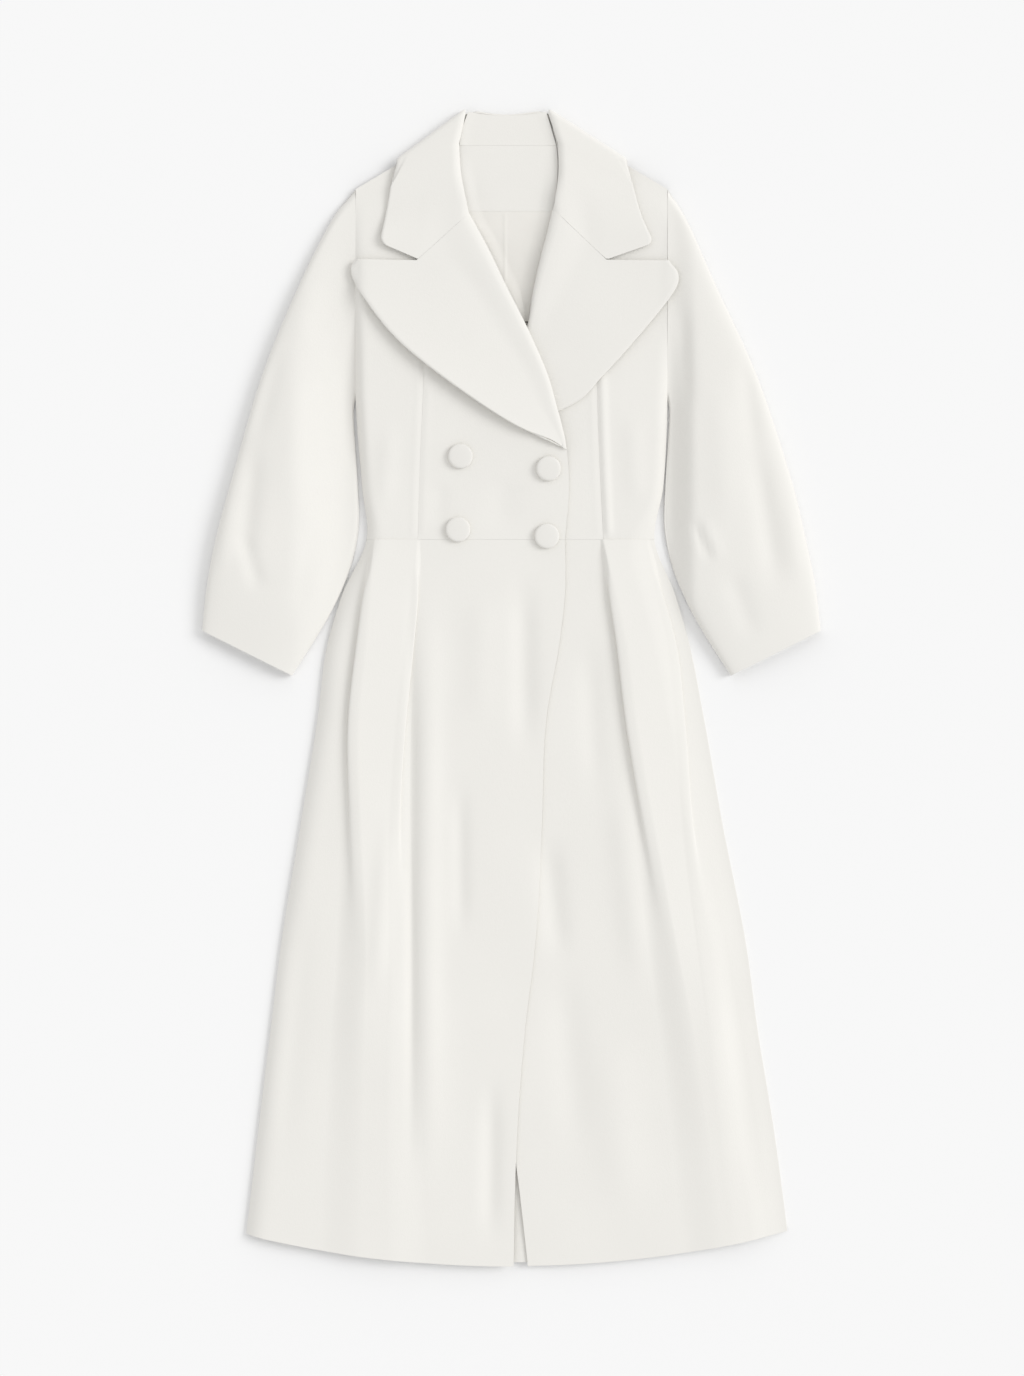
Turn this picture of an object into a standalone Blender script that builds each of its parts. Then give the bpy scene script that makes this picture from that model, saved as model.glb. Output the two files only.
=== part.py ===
"""Double-breasted wool coat with lapels, full sleeves and a box-pleated skirt, laid flat on its back.

The collar points along +Y, the hem along -Y and the front faces +Z. The wearer's right is -X.
Tables are in millimetres, and meshes are made in metres.
"""
from collections import namedtuple

import bpy
import numpy as np

MM = 0.001

# Cloth and seams
WALL = 2.0
LEAF = 3.4
LEAF_RIM = 2.5
LEAF_REST = 3.5
COLLAR_WALL = 3.0
FACING_WALL = 1.4
SEAM = 0.4
BACK_Z = WALL / 2
BACK_LIFT = 3.6
LIFT_START_Y = 500.0
LIFT_LENGTH = 84.0
LIFT_HALF = 176.0
LIFT_SIDE = 24.0
LINING_GAP = 0.9
LINING_INSET = 1.0
FACING_LOW_Y = 580.0
LINING_LOW_Y = 446.0

# Body lengths
WAIST_Y = 180.0
ARMHOLE_X = 190.0
NECK_Y = 660.0
NECK_HALF = 46.0
SHOULDER_NECK = (66.0, 681.0)
SHOULDER_TIP = (190.0, 607.0)
BACK_SHOULDER_DROP = 6.0
HEM_LOW = -704.1
HEM_RADIUS = 1380.0
HEM_TABLE_Y = -690.0
BACK_HEM_SHORTER = 4.0
SKIRT_SIDE_ROUND = 30.0
BODICE_SIDE_ROUND = 16.0
ROUND_BLEND = 60.0
SHOULDER_ROUND = 55.0

# Buttons
BUTTON_RADIUS = 15.0
BUTTON_SIDES = 16
BUTTON_SEAT = 0.35

WOOL = ("ivory_wool", (0.82, 0.80, 0.755, 1.0), 0.9)
SATIN = ("ivory_lining", (0.78, 0.76, 0.71, 1.0), 0.45)
COVERED = ("covered_button", (0.80, 0.78, 0.735, 1.0), 0.85)

# The body's side edges, and the levels that each front lies at
Side = namedtuple("Side", "y right left")
SIDES = (
    Side(-700, 327, 341), Side(-660, 322, 336), Side(-540, 308, 320), Side(-410, 292, 299),
    Side(-320, 281, 287), Side(-165, 256, 257), Side(-40, 236, 235), Side(60, 222, 215),
    Side(115, 205, 199), Side(180, 176, 174), Side(242, 181, 184), Side(300, 186, 188),
    Side(357, 189.6, 189.6), Side(700, 189.6, 189.6),
)
Level = namedtuple("Level", "y over under edge")
LEVELS = (
    Level(-720, 13.2, 9.6, 3.3), Level(180, 13.2, 9.6, 3.3), Level(262, 13.4, 9.6, 3.3),
    Level(300, 17.0, 9.6, 3.3), Level(335, 18.5, 9.6, 3.4), Level(400, 18.5, 9.6, 7.0),
    Level(440, 18.5, 9.8, 10.0), Level(520, 16.0, 11.0, 12.0), Level(570, 13.0, 11.0, 11.0),
    Level(604, 10.5, 10.0, 8.0), Level(655, 7.4, 7.4, 7.0), Level(720, 7.4, 7.4, 7.0),
)

# Front edges and roll lines of the upper body, and the princess seams
Edge = namedtuple("Edge", "y over under")
FRONT_EDGES = (
    Edge(180, 65, -80), Edge(250, 70, -70), Edge(288, 67, -56), Edge(324, 59, -40), Edge(381, 42, -8),
    Edge(434, 19, 19), Edge(488, -8, 29), Edge(545, -35, 43), Edge(575, -52, 50), Edge(622, -62, 57),
    Edge(656, -65, 56), Edge(703, -57, 42),
)
Princess = namedtuple("Princess", "y right left")
PRINCESS = (
    Princess(180, -114, 112), Princess(280, -111, 107), Princess(372, -107, 104), Princess(650, -118, 116),
)
PRINCESS_TOP_Y = np.array(650.0)

# How finely each panel is divided, as shares of its width or length
BACK_ROWS = np.concatenate((np.linspace(0, 0.65, 6)[:-1], np.linspace(0.65, 1, 9)))[:, None]
BACK_HALF = np.array((NECK_HALF / 2, NECK_HALF, SHOULDER_NECK[0], 97.0, 128.0, 159.0, SHOULDER_TIP[0]))
BACK_SKIRT_COLUMNS = np.linspace(-1, 1, 11)
BACK_SKIRT_ROWS = np.linspace(0, 1, 11)[:, None]
SIDE_FRONT_COLUMNS = np.array((0.0, 0.06, 0.12, 0.2, 0.5, 1.0))
SIDE_FRONT_ROWS = np.linspace(0, 1, 15)[:, None]
CENTRE_FRONT_COLUMNS = np.linspace(0, 1, 8)
CENTRE_FRONT_ROWS = np.linspace(0, 1, 18)[:, None]
SKIRT_ROWS = np.array((0, 0.035, 0.07, 0.125, 0.19, 0.28, 0.38, 0.48, 0.58, 0.69, 0.8, 0.9, 1.0))[:, None]
SKIRT_SIDE = np.array((0.0, 0.1, 0.28, 0.6))
SKIRT_PLEAT = np.linspace(0, 1, 6)[1:-1]
SKIRT_CENTRE = np.linspace(0, 1, 7)[1:]
LINING_STEPS = np.linspace(0, 1, 7)
STAND_COLUMNS = 9
STAND_ROWS = np.linspace(0, 1, 6)[:, None]

# Skirt folds: the fold lines of each box pleat, and the free front edges
Skirt = namedtuple("Skirt", "y out_right in_right edge_right edge_left in_left out_left")
SKIRT = (
    Skirt(-700, -208, -126, 2, 23, 236, 292), Skirt(-600, -206, -129, 4, 7, 224, 282),
    Skirt(-540, -204, -130, 7, 0, 217, 275), Skirt(-410, -199, -130, 17, -10, 199, 258),
    Skirt(-320, -195, -131, 28, -20, 184, 244), Skirt(-165, -196, -136, 37, -38, 160, 220),
    Skirt(-40, -195, -131, 42, -52, 142, 208), Skirt(60, -184, -121, 59, -64, 130, 196),
    Skirt(115, -178, -115, 65, -72, 120, 182), Skirt(180, -168, -113, 65, -80, 110, 166),
)
Fold = namedtuple("Fold", "y rise ramp lean")
FOLDS = (
    Fold(-700, 3.6, 50, 0.0), Fold(-560, 4.6, 47, 0.0), Fold(-430, 6.2, 42, 0.0), Fold(-300, 7.6, 35, 0.0),
    Fold(-150, 9.0, 24, 4.4), Fold(-40, 9.0, 18, 6.4), Fold(60, 9.0, 16, 6.0), Fold(115, 8.4, 13, 3.4),
    Fold(150, 6.0, 9, 0.0), Fold(180, 0.6, 6, 0.0),
)
FOLD_STEPS = np.linspace(0.0, 1.0, 8)

# Sleeves, from the armhole to the cuff: outer and inner edge of each flattened section
Sleeve = namedtuple("Sleeve", "outer_right outer_left outer_y inner inner_y crown")
SLEEVE = (
    Sleeve(191.3, 191.3, 603, 191.3, 357, 10.5), Sleeve(219, 213, 568, 194, 336, 17),
    Sleeve(259, 249, 487, 191.5, 296, 23), Sleeve(303, 298, 379, 188, 246, 27),
    Sleeve(339, 339, 256, 187, 192, 28), Sleeve(359, 357, 182, 199, 140, 26),
    Sleeve(370, 369, 124, 226, 82, 22), Sleeve(376, 376, 69, 268, 15, 15),
)
SLEEVE_ROWS = 13
SLEEVE_TOP = 10
SLEEVE_BOTTOM = 5
SLEEVE_ROUND = 0.72

# Lapels, from the break to the gorge: roll point, outer edge point, how far the middle drops, roll and edge
Lapel = namedtuple("Lapel", "roll_x roll_y edge_x edge_y drop roll_width roll_rise edge_lift")
RIGHT_LAPEL = (
    Lapel(66, 289, 50, 299, 0, 5, 1.4, 3.0), Lapel(63, 306, 5, 318, 0, 5, 2.0, 8.0),
    Lapel(54, 340, -48, 351, 0, 6, 3.0, 11.0), Lapel(42, 381, -109, 396, 0, 6, 3.6, 11.0),
    Lapel(19, 434, -150, 434, 0, 8, 4.4, 10.0), Lapel(-8, 488, -187, 485, 0, 9, 5.0, 7.0),
    Lapel(-29, 532, -195, 508, 14, 10, 5.5, 5.0), Lapel(-52, 575, -189, 520, 31, 10, 6.0, 5.0),
)
LEFT_LAPEL = (
    Lapel(-47, 310, -33, 314, 0, 5, 1.0, 0.0), Lapel(-30, 340, 20, 322, 0, 5, 1.0, 0.0),
    Lapel(0, 395, 79, 347, 0, 5, 1.0, 0.5), Lapel(19, 436, 110, 378, 0, 5, 1.6, 2.0),
    Lapel(27, 480, 150, 422, 0, 7, 3.6, 3.0), Lapel(36, 520, 194, 476, 4, 9, 5.0, 3.5),
    Lapel(44, 550, 203, 500, 14, 10, 5.5, 3.5), Lapel(51, 580, 191, 519, 32, 10, 6.0, 3.5),
)
LAPEL_SPAN = 14
NOTCH_AT = 0.46
ROLL_SHARE = 0.6
BLEND_RATE = 0.25
LAPEL_ROLL_STEPS = (0.0, 0.08, 0.3, 0.62, 1.0)
LAPEL_LEAF_STEPS = 7

# Collar, from the gorge over the shoulder to the middle of the back
Fall = namedtuple("Fall", "roll_x roll_y edge_x edge_y drop roll_z top_z edge_z")
RIGHT_FALL = (
    Fall(-52.4, 576.4, -160, 540, 27.1, 14.4, 21.4, 19.0), Fall(-62, 622, -153, 574, 6, 11.4, 18.0, 16.4),
    Fall(-65, 662, -147, 609, 0, 9.6, 15.6, 14.8),
)
LEFT_FALL = (
    Fall(51.4, 581.4, 173, 540, 32.4, 12.4, 19.4, 17.0), Fall(58, 622, 158, 574, 6, 11.4, 18.0, 16.0),
    Fall(58, 662, 148, 609, 0, 9.6, 15.6, 14.8),
)
CREASE_RIGHT = ((-57, 703), (-140, 642))
CREASE_LEFT = ((46, 703), (141, 642))
BACK_FALL = (
    Fall(-43, 701, -92, 606, 0, 6.4, 1.6, 1.6), Fall(-6, 697, 0, 598, 0, 6.4, 1.6, 1.6),
    Fall(34, 701, 93, 606, 0, 6.4, 1.6, 1.6),
)
CREASE_TURN = np.radians((90.0, 45.0, 0.0, -45.0, -90.0))
CREASE_ROLL_Z = 9.0
CREASE_TOP_Z = 14.5
CREASE_ROLL_SHARE = 0.12
CREASE_SPREAD = 1.6
COLLAR_ROLL_WIDTH = 10.0
STAND_Z = 8.6
STAND_INSET = 2.0

Button = namedtuple("Button", "name x y")
BUTTONS = (
    Button("button_upper_right", -62, 281), Button("button_upper_left", 45, 266),
    Button("button_lower_right", -65, 192), Button("button_lower_left", 43, 184),
)
ButtonRing = namedtuple("ButtonRing", "radius height")
BUTTON_RINGS = (
    ButtonRing(0.86, 0.0), ButtonRing(1.0, 1.6), ButtonRing(0.98, 4.2), ButtonRing(0.84, 5.8),
    ButtonRing(0.45, 6.3),
)
BUTTON_TOP = 6.4


def spline(knots, values, at):
    """Smooth curve through a table's rows: cubic pieces whose slopes come from the neighbouring rows."""
    knots = np.asarray(knots, float)
    values = np.asarray(values, float)
    slopes = np.gradient(values, knots)
    at = np.clip(at, knots[0], knots[-1])
    piece = np.clip(np.searchsorted(knots, at) - 1, 0, len(knots) - 2)
    span = knots[piece + 1] - knots[piece]
    t = (at - knots[piece]) / span
    start = values[piece] * (1 + 2 * t) * (1 - t) ** 2 + slopes[piece] * span * t * (1 - t) ** 2
    end = values[piece + 1] * (3 - 2 * t) * t ** 2 - slopes[piece + 1] * span * (1 - t) * t ** 2
    return start + end


def read(table, name, at):
    """One named column of a table whose first column is y, at the heights asked for."""
    return spline([row.y for row in table], [getattr(row, name) for row in table], at)


def rows_between(table, count):
    """More rows worked out between a table's own, as a dictionary of columns."""
    own = np.arange(len(table))
    at = np.linspace(0, len(table) - 1, count)
    return {name: spline(own, [getattr(row, name) for row in table], at) for name in table[0]._fields}


def ease(t):
    """Soft step from 0 to 1."""
    t = np.clip(t, 0.0, 1.0)
    return t * t * (3 - 2 * t)


def quarter(t):
    """Rise of a quarter round, from 0 to 1."""
    return np.sqrt(1 - (1 - np.clip(t, 0.0, 1.0)) ** 2)


def shoulder_y(x):
    """The shoulder seam's height above the hem side, on either side of the neck."""
    return np.interp(np.abs(x), (SHOULDER_NECK[0], SHOULDER_TIP[0]), (SHOULDER_NECK[1], SHOULDER_TIP[1]))


def hem_y(x):
    """The hem swings in a wide arc."""
    return HEM_LOW + x ** 2 / (2 * HEM_RADIUS)


def front_height(x, y, lap):
    """Middle of a front's wall: low at the side seam, rounding up to the level that this front lies at."""
    edge = read(LEVELS, "edge", y)
    level = read(LEVELS, lap, y)
    inset = np.where(x < 0, x + side_x("right", y), side_x("left", y) - x)
    waisted = ease((y - WAIST_Y + ROUND_BLEND) / (2 * ROUND_BLEND))
    rounding = SKIRT_SIDE_ROUND + (BODICE_SIDE_ROUND - SKIRT_SIDE_ROUND) * waisted
    below = shoulder_y(x) - y
    return edge + (level - edge) * ease(inset / rounding) * ease(below / SHOULDER_ROUND)


def side_x(side, y):
    """Half width at a side edge: the skirt's flare, the side seam, then the armhole's straight edge."""
    flare = read(SIDES, side, y)
    return np.where(y > WAIST_Y, np.minimum(flare, ARMHOLE_X - SEAM), flare)


def back_height(x, y):
    """The back lies on the surface, and lifts over the collar's fall near the neck."""
    across = ease((LIFT_HALF - np.abs(x)) / LIFT_SIDE)
    return BACK_Z + BACK_LIFT * ease((y - LIFT_START_Y) / LIFT_LENGTH) * across


def material(finish):
    name, colour, roughness = finish
    if name in bpy.data.materials:
        return bpy.data.materials[name]
    made = bpy.data.materials.new(name)
    made.use_nodes = True
    shader = made.node_tree.nodes["Principled BSDF"]
    shader.inputs["Base Color"].default_value = colour
    shader.inputs["Roughness"].default_value = roughness
    shader.inputs["Metallic"].default_value = 0.0
    return made


def add_object(name, points, faces, finish):
    mesh = bpy.data.meshes.new(name)
    mesh.from_pydata((np.asarray(points) * MM).tolist(), [], faces)
    mesh.shade_smooth()
    mesh.materials.append(material(finish))
    made = bpy.data.objects.new(name, mesh)
    bpy.context.scene.collection.objects.link(made)
    return made


def add_cloth(name, x, y, z, wall, finish, tube=False):
    """A grid of points given a wall; a tube's columns close into a ring."""
    rows, columns = x.shape
    across = columns if tube else columns - 1
    faces = []
    for row in range(rows - 1):
        for column in range(across):
            beside = (column + 1) % columns
            faces.append((row * columns + column, row * columns + beside,
                          (row + 1) * columns + beside, (row + 1) * columns + column))
    made = add_object(name, np.stack((x, y, z), axis=-1).reshape(-1, 3), faces, finish)
    solid = made.modifiers.new("Wall", "SOLIDIFY")
    solid.thickness = wall * MM
    solid.offset = 0.0
    return made


def back_bodice():
    top_x = np.concatenate((-BACK_HALF[::-1], (0.0,), BACK_HALF))
    shoulder = shoulder_y(top_x) - BACK_SHOULDER_DROP
    neck = NECK_Y - SEAM
    rising = np.interp(np.abs(top_x), (NECK_HALF, SHOULDER_NECK[0]), (0.0, 1.0))
    top = neck + (shoulder - neck) * rising
    y = WAIST_Y + SEAM + (top - WAIST_Y - SEAM) * BACK_ROWS
    x = np.where(top_x < 0, side_x("right", y), side_x("left", y)) * top_x / SHOULDER_TIP[0]
    add_cloth("back_bodice", x, y, back_height(x, y), WALL, WOOL)


def back_skirt():
    across = BACK_SKIRT_COLUMNS
    hem_x = np.where(across < 0, side_x("right", HEM_TABLE_Y), side_x("left", HEM_TABLE_Y)) * across
    y = WAIST_Y + (hem_y(hem_x) + BACK_HEM_SHORTER - WAIST_Y) * BACK_SKIRT_ROWS
    x = np.where(across < 0, side_x("right", y), side_x("left", y)) * across
    add_cloth("back_skirt", x, y, np.full_like(x, BACK_Z), WALL, WOOL)


def side_front(name, side, lap):
    """Panel between the armhole, the side seam, the shoulder and the princess seam."""
    sign = -1 if side == "right" else 1
    across = SIDE_FRONT_COLUMNS
    princess_top = read(PRINCESS, side, PRINCESS_TOP_Y)
    top = shoulder_y(sign * SHOULDER_TIP[0] + (princess_top - sign * SHOULDER_TIP[0]) * across)
    y = WAIST_Y + SEAM + (top - WAIST_Y - SEAM) * SIDE_FRONT_ROWS
    outer = sign * side_x(side, y)
    x = outer + (read(PRINCESS, side, y) + sign * SEAM / 2 - outer) * across
    add_cloth(name, x, y, front_height(x, y, lap), WALL, WOOL)


def centre_front(name, side, lap):
    """Panel between the princess seam, the shoulder, and the roll line or front edge."""
    sign = -1 if side == "right" else 1
    across = CENTRE_FRONT_COLUMNS
    start = read(PRINCESS, side, PRINCESS_TOP_Y)
    top = shoulder_y(start + (sign * SHOULDER_NECK[0] - start) * across)
    y = WAIST_Y + SEAM + (top - WAIST_Y - SEAM) * CENTRE_FRONT_ROWS
    seam = read(PRINCESS, side, y) - sign * SEAM / 2
    x = seam + (read(FRONT_EDGES, lap, y) - seam) * across
    add_cloth(name, x, y, front_height(x, y, lap), WALL, WOOL)


def front_skirt(name, side, lap):
    """Flared front with one box pleat: its two folds turn under and open out towards the hem."""
    sign = -1 if side == "right" else 1
    parts = (SKIRT_SIDE, FOLD_STEPS[::-1], SKIRT_PLEAT, FOLD_STEPS, SKIRT_CENTRE)

    def lay(y_parts):
        """The columns' x and pleat height at each part's own y."""
        xs = []
        raised = []
        for index, part in enumerate(parts):
            y = y_parts[index]
            ramp = read(FOLDS, "ramp", y)
            lean = read(FOLDS, "lean", y)
            rise = read(FOLDS, "rise", y)
            outer_x = sign * side_x(side, y)
            out_x = read(SKIRT, "out_" + side, y)
            in_x = read(SKIRT, "in_" + side, y)
            edge_x = read(SKIRT, "edge_" + side, y)
            swing = ramp * (part - 0.5) + lean * np.sin(2 * np.pi * part)
            if index == 0:
                xs.append(outer_x + (out_x + sign * ramp / 2 - outer_x) * part)
                raised.append(0 * y)
            elif index == 1:
                xs.append(out_x + sign * swing)
                raised.append(rise * (1 - part))
            elif index == 2:
                start = out_x - sign * ramp / 2
                xs.append(start + (in_x + sign * ramp / 2 - start) * part)
                raised.append(rise)
            elif index == 3:
                xs.append(in_x - sign * swing)
                raised.append(rise * (1 - part))
            else:
                start = in_x - sign * ramp / 2
                xs.append(start + (edge_x - start) * part)
                raised.append(0 * y)
        return np.concatenate(xs, axis=-1), np.concatenate(raised, axis=-1)

    level = [np.full(part.shape, HEM_TABLE_Y) for part in parts]
    hem_x, _ = lay(level)
    y = WAIST_Y + (hem_y(hem_x) - WAIST_Y) * SKIRT_ROWS
    bounds = np.cumsum([len(part) for part in parts])[:-1]
    x, raised = lay(np.split(y, bounds, axis=1))
    add_cloth(name, x, y, front_height(x, y, lap) + raised, WALL, WOOL)


def sleeve(name, side):
    """Flattened tube: flat where it lies, crowned above, open at the armhole and the cuff."""
    sign = -1 if side == "right" else 1
    rows = rows_between(SLEEVE, SLEEVE_ROWS)
    turn = np.linspace(0, np.pi, SLEEVE_TOP)
    top_across = (1 - np.cos(turn)) / 2
    top_rise = np.sin(turn) ** SLEEVE_ROUND
    under_across = np.linspace(1, 0, SLEEVE_BOTTOM + 2)[1:-1]
    across = np.concatenate((top_across, under_across))
    rise = np.concatenate((top_rise, np.zeros(SLEEVE_BOTTOM)))
    inner = rows["inner"][:, None]
    outer = rows["outer_" + side][:, None]
    x = sign * (inner + (outer - inner) * across)
    y = rows["inner_y"][:, None] + (rows["outer_y"] - rows["inner_y"])[:, None] * across
    z = BACK_Z + rows["crown"][:, None] * rise
    add_cloth(name, x, y, z, WALL, WOOL, tube=True)


def leaf_grid(rows, roll_width):
    """Straight lines from the roll line to the outer edge, with the middle dropped towards a notch."""
    length = np.hypot(rows["edge_x"] - rows["roll_x"], rows["edge_y"] - rows["roll_y"])[:, None]
    width = np.minimum(roll_width, ROLL_SHARE * length)
    roll = np.asarray(LAPEL_ROLL_STEPS) * width / length
    leaf = width / length + (1 - width / length) * np.linspace(0, 1, LAPEL_LEAF_STEPS)[1:]
    t = np.concatenate((roll, leaf), axis=1)
    tent = np.minimum(t / NOTCH_AT, (1 - t) / (1 - NOTCH_AT))
    x = rows["roll_x"][:, None] + (rows["edge_x"] - rows["roll_x"])[:, None] * t
    y = rows["roll_y"][:, None] + (rows["edge_y"] - rows["roll_y"])[:, None] * t
    y = y - rows["drop"][:, None] * tent
    return x, y, t, t * length / width


def lapel(name, table, lap):
    """Leaf that turns back along the roll line and hovers over its front."""
    rows = rows_between(table, LAPEL_SPAN)
    x, y, t, rolled = leaf_grid(rows, rows["roll_width"][:, None])
    roll_z = front_height(rows["roll_x"], rows["roll_y"], lap)[:, None] + LEAF_RIM
    rise = rows["roll_rise"][:, None]
    hover = front_height(x, y, lap) + LEAF_REST + rows["edge_lift"][:, None] * t
    rolled_over = roll_z + rise * quarter(rolled)
    blend = ease((rolled - 1) * BLEND_RATE)
    z = np.maximum(rolled_over + (hover - rolled_over) * blend, hover * (rolled > 1))
    add_cloth(name, x, y, z, LEAF, WOOL)


def fall_rows(table):
    """Front or back rows of the collar: rounded at the roll, then running straight to the edge."""
    columns = {name: np.array([getattr(row, name) for row in table], float) for name in table[0]._fields}
    x, y, t, rolled = leaf_grid(columns, COLLAR_ROLL_WIDTH)
    roll_z = columns["roll_z"][:, None]
    top_z = columns["top_z"][:, None]
    edge_z = columns["edge_z"][:, None]
    z = roll_z + (top_z - roll_z) * quarter(rolled) + (edge_z - top_z) * t
    return np.stack((x, y, z), axis=-1)


def crease_rows(crease, steps):
    """Half round about the shoulder crease, from the front's leaf to the back's."""
    start, end = np.array(crease, float)
    along = end - start
    outward = np.array((along[1], -along[0])) / np.hypot(*along)
    if outward[1] < 0:
        outward = -outward
    low = BACK_FALL[0].edge_z
    high = CREASE_ROLL_Z + (CREASE_TOP_Z - CREASE_ROLL_Z) * quarter(steps / CREASE_ROLL_SHARE)
    radius = (high - low) / 2
    rows = []
    for turn in CREASE_TURN:
        plan = start + steps[:, None] * along + outward * (radius * (np.cos(turn) - 1))[:, None]
        rows.append(np.column_stack((plan, low + radius + radius * np.sin(turn))))
    return np.array(rows)


def collar():
    """The fall in one piece: right front, shoulder crease, back, shoulder crease, left front."""
    right = fall_rows(RIGHT_FALL)
    steps = np.linspace(0, 1, right.shape[1]) ** CREASE_SPREAD
    back = fall_rows(BACK_FALL)
    left = fall_rows(LEFT_FALL)[::-1]
    turned = crease_rows(CREASE_LEFT, steps)[::-1]
    grid = np.concatenate((right, crease_rows(CREASE_RIGHT, steps), back, turned, left))
    add_cloth("collar", grid[..., 0], grid[..., 1], grid[..., 2], COLLAR_WALL, WOOL)


def collar_stand():
    """Band inside the back neck, from the neck seam up over the collar's roll."""
    across = np.linspace(BACK_FALL[0].roll_x + STAND_INSET, BACK_FALL[-1].roll_x - STAND_INSET, STAND_COLUMNS)
    high = np.interp(across, [row.roll_x for row in BACK_FALL], [row.roll_y for row in BACK_FALL])
    low = NECK_Y + SEAM
    y = low + (high - low) * STAND_ROWS
    x = across + 0 * y
    seam_z = back_height(x, NECK_Y)
    z = seam_z + (STAND_Z - seam_z) * ease(STAND_ROWS)
    add_cloth("collar_stand", x, y, z, WALL, WOOL)


def neck_lining(name, low, high, wall, finish):
    """Cloth on the back that shows between the two roll lines."""
    y = low + (high - low) * LINING_STEPS[:, None] + 0 * LINING_STEPS
    start = read(FRONT_EDGES, "over", y) + LINING_INSET
    end = read(FRONT_EDGES, "under", y) - LINING_INSET
    x = start + (end - start) * LINING_STEPS
    z = back_height(x, y) + (WALL + wall) / 2 + LINING_GAP
    add_cloth(name, x, y, z, wall, finish)


def button(row):
    """Low domed cloth-covered button, seated on the over-lapping front."""
    turn = np.arange(BUTTON_SIDES) * 2 * np.pi / BUTTON_SIDES
    reach = np.array((-BUTTON_RADIUS, BUTTON_RADIUS))
    ends = front_height(np.full(2, row.x), row.y + reach, "over")
    slope = (ends[1] - ends[0]) / (2 * BUTTON_RADIUS)
    middle = front_height(np.array(row.x), np.array(row.y), "over")
    seat = max(middle, ends.mean()) + WALL / 2 + BUTTON_SEAT
    points = [(row.x, row.y, seat)]
    for ring in BUTTON_RINGS:
        radius = ring.radius * BUTTON_RADIUS
        height = seat + ring.height + slope * radius * np.sin(turn)
        points.extend(np.column_stack((row.x + radius * np.cos(turn), row.y + radius * np.sin(turn), height)))
    points.append((row.x, row.y, seat + BUTTON_TOP))
    last = len(points) - 1
    faces = []
    for side in range(BUTTON_SIDES):
        beside = (side + 1) % BUTTON_SIDES
        faces.append((0, 1 + beside, 1 + side))
        for ring in range(len(BUTTON_RINGS) - 1):
            low = 1 + ring * BUTTON_SIDES
            high = low + BUTTON_SIDES
            faces.append((low + side, low + beside, high + beside, high + side))
        crown = 1 + (len(BUTTON_RINGS) - 1) * BUTTON_SIDES
        faces.append((crown + side, crown + beside, last))
    add_object(row.name, points, faces, COVERED)


def main():
    for item in list(bpy.data.objects):
        bpy.data.objects.remove(item, do_unlink=True)
    back_bodice()
    back_skirt()
    for side, lap in (("right", "over"), ("left", "under")):
        side_front(side + "_side_front_bodice", side, lap)
        centre_front(side + "_front_bodice", side, lap)
        front_skirt(side + "_front_skirt", side, lap)
        sleeve(side + "_sleeve", side)
    lapel("right_lapel", RIGHT_LAPEL, "over")
    lapel("left_lapel", LEFT_LAPEL, "under")
    collar()
    collar_stand()
    neck_lining("back_neck_facing", FACING_LOW_Y, NECK_Y - STAND_INSET, FACING_WALL, WOOL)
    neck_lining("back_lining", LINING_LOW_Y, FACING_LOW_Y - SEAM, FACING_WALL, SATIN)
    for row in BUTTONS:
        button(row)


main()
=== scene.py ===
"""Looks of the ivory double-breasted coat: cloth shells with folds and seams, covered buttons, wool and
satin, and the stage that it lies on."""
from collections import namedtuple

import bpy
import numpy as np
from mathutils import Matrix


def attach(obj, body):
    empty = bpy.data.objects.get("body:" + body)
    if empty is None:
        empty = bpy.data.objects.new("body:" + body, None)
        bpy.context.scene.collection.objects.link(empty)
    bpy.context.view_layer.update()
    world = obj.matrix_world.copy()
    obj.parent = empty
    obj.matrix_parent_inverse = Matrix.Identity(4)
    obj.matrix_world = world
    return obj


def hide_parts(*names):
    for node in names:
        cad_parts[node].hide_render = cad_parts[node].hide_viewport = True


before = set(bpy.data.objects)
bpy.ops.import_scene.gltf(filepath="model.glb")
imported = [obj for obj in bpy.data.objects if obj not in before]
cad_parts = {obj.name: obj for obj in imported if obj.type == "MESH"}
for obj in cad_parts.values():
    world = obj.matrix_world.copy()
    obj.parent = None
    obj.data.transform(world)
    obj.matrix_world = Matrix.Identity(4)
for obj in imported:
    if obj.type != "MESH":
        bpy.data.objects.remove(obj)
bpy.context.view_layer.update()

bl_info = {
    "name": "Double-breasted coat",
    "version": (1, 0, 0),
    "blender": (4, 5, 0),
    "location": "View3D > Sidebar > Coat",
    "description": "Builds an ivory wool coat laid flat, with its folds, seams, buttons and studio",
    "category": "Object",
}

MM = 0.001
BODY = "root"

# Cloth and seams, in millimetres
WALL = 2.0
LEAF = 3.4
LEAF_RIM = 2.5
LEAF_REST = 3.5
COLLAR_WALL = 3.0
FACING_WALL = 1.4
SEAM = 0.4
STITCH = 0.02
EDGE_ROUND = 0.07
RIM_WIDTH = 0.8
RIM_STEPS = (0.0, 0.1, 0.35, 0.8, 1.6)
SHORTEST = 1e-9
LEAF_ROUND = 0.9
SEWN_ROUND = 0.05
GORGE_BLEND = 0.6
ARMHOLE_BLEND = {"right": 78.0, "left": 34.0}
BACK_Z = WALL / 2
BACK_LIFT = 3.6
LIFT_START_Y = 500.0
LIFT_LENGTH = 84.0
LIFT_HALF = 176.0
LIFT_SIDE = 24.0
LINING_GAP = 0.9
LINING_INSET = 1.0
LINING_TURN = 2.4
LINING_TURN_WIDTH = 18.0
LINING_TURN_FADE = 60.0
FACING_LOW_Y = 580.0
LINING_LOW_Y = 446.0
EASE_FOLD_X = -8.0
EASE_FOLD_HALF = 1.6
EASE_FOLD_HEIGHT = 0.5
EASE_FOLD_FADE = 6.0

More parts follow.
